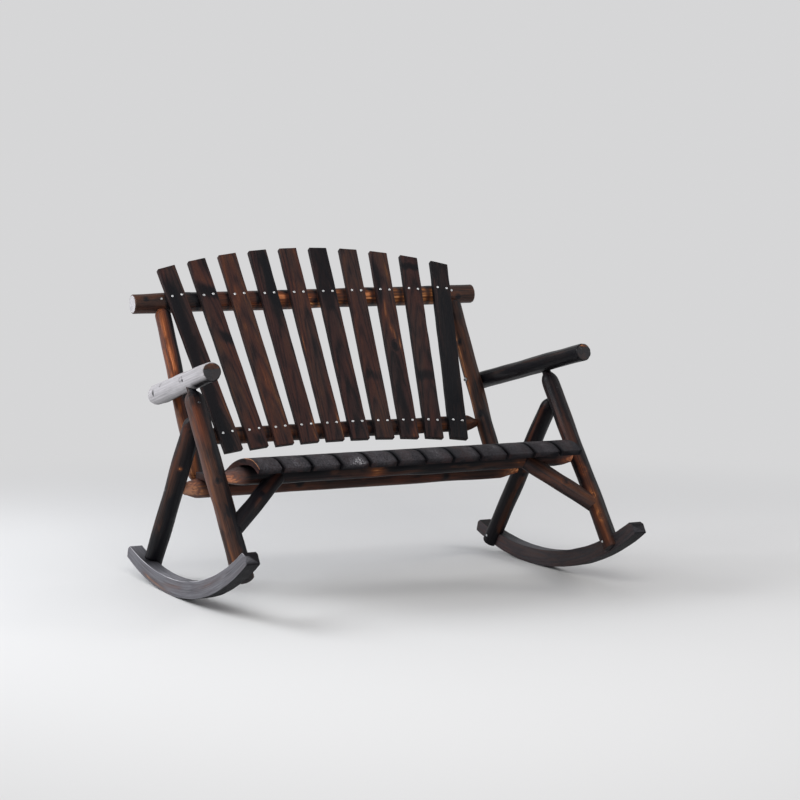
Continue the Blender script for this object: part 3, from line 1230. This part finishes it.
view = {"place": (-2.7758, -5.8137, 1.17367), "tilt": 84.4585, "turn": -25.654, "lens": 95.78,
        "shiftX": 0.0425, "shiftY": -0.00125}
camera = newObject("camera", bpy.data.cameras.new("camera"))
camera.location = (view["place"][0], view["place"][1] + rockY, view["place"][2])
camera.rotation_euler = (math.radians(view["tilt"]), 0, math.radians(view["turn"]))
camera.data.lens = view["lens"]
camera.data.sensor_width = 36
camera.data.shift_x = view["shiftX"]
camera.data.shift_y = view["shiftY"]
bpy.context.scene.camera = camera

studio = {
    "floor": (0.75, 0.75, 0.745), "floorRoughness": 0.85, "floorSpecular": 0.2, "floorHalf": 30.0,
    "fadeFrom": 1.2, "fadeTo": 3.4,
    "sky": (0.94, 0.95, 1.0), "skyStrength": 0.48, "seenSky": (0.99, 0.99, 1.0), "seenStrength": 0.68,
}


def seenRays(tree):  # the pale backdrop shows to the eye and in shine, but lights nothing
    rays = tree.nodes.new("ShaderNodeLightPath").outputs
    seen = maths(tree, "MAXIMUM", rays["Is Camera Ray"], rays["Is Glossy Ray"])
    return maths(tree, "MAXIMUM", seen, rays["Is Transmission Ray"])


def mixShaders(tree, factor, first, second, outputName):
    mix = tree.nodes.new("ShaderNodeMixShader")
    feed(tree, mix.inputs, (factor, first, second))
    tree.links.new(mix.outputs[0], tree.nodes[outputName].inputs["Surface"])


def buildStage():  # a pale floor that fades into the backdrop's tone far from the bench
    far = studio["floorHalf"]
    mesh = bpy.data.meshes.new("paleFloor")
    mesh.from_pydata([(-far, -far, 0), (far, -far, 0), (far, far, 0), (-far, far, 0)], [], [(0, 1, 2, 3)])
    stage = newObject("paleFloor", mesh)
    material, tree, shader = newMaterial("palePaint")
    shader.inputs["Base Color"].default_value = (*studio["floor"], 1)
    shader.inputs["Roughness"].default_value = studio["floorRoughness"]
    shader.inputs["Specular IOR Level"].default_value = studio["floorSpecular"]
    away = vectorMaths(tree, "LENGTH", tree.nodes.new("ShaderNodeNewGeometry").outputs["Position"])
    fade = softStep(tree, away, studio["fadeFrom"], studio["fadeTo"])
    glow = node(tree, "ShaderNodeEmission", Color=(*studio["seenSky"], 1), Strength=studio["seenStrength"])
    mixShaders(tree, maths(tree, "MULTIPLY", fade, seenRays(tree)), shader.outputs[0], glow.outputs[0],
               "Material Output")
    mesh.materials.append(material)


def buildLamp(name, place, target, size, watts, colour):
    lamp = bpy.data.lights.new(name, "AREA")
    lamp.shape = "RECTANGLE"
    lamp.size, lamp.size_y = size
    lamp.energy = watts
    lamp.color = colour
    lampObject = newObject(name, lamp)
    lampObject.location = place
    lampObject.rotation_euler = (Vector(target) - Vector(place)).to_track_quat("-Z", "Y").to_euler()


buildStage()
lamps = {  # place, target, size, watts, colour
    "softLeft": ((-3.2, 1.6, 2.6), (0, 0, 0.5), (2.2, 2.0), 115, (0.95, 0.97, 1.0)),
    "softFront": ((-1.6, -4.2, 3.2), (0, 0, 0.45), (2.4, 1.8), 110, (1.0, 0.985, 0.96)),
    "softRight": ((3.6, -1.2, 2.4), (0, 0, 0.5), (1.6, 1.6), 34, (1.0, 0.97, 0.93)),
}
for name, lamp in lamps.items():
    buildLamp(name, *lamp)

world = bpy.data.worlds.new("studioLight")
bpy.context.scene.world = world
world.use_nodes = True
tree = world.node_tree
sky = tree.nodes["Background"]
sky.inputs["Color"].default_value = (*studio["sky"], 1)
sky.inputs["Strength"].default_value = studio["skyStrength"]
seenSky = node(tree, "ShaderNodeBackground", Color=(*studio["seenSky"], 1), Strength=studio["seenStrength"])
mixShaders(tree, seenRays(tree), sky.outputs[0], seenSky.outputs[0], "World Output")
bpy.context.scene.view_settings.view_transform = "Standard"
print("camera, floor and light set")
